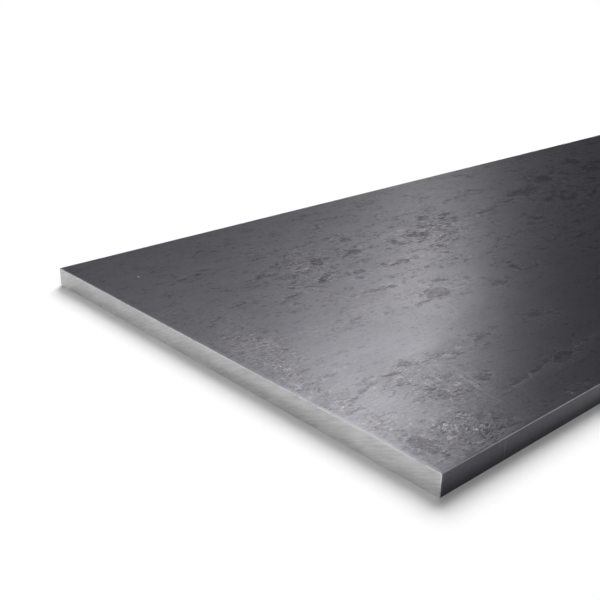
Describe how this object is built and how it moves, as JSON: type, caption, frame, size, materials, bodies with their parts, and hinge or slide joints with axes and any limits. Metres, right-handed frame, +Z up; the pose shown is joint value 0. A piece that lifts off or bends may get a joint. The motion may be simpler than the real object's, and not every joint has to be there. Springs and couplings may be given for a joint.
{
  "type": "steel plate",
  "caption": "Flat rectangular hot-rolled steel plate, dark with mill scale on its faces and long edges, with bright square sawn ends.",
  "frame": {"origin": "middle of the underside, on the surface that the plate lies on", "axes": "+X along the length, which is the rolling direction; +Y across the width; +Z up through the thickness"},
  "size_m": [1, 0.4, 0.015],
  "materials": {
    "mill_scale_steel": "hot-rolled mill scale, dark blue-grey and satin; bright bare steel on the sawn ends"
  },
  "bodies": {
    "root": {"plate": "mill_scale_steel"}
  },
  "joints": []
}
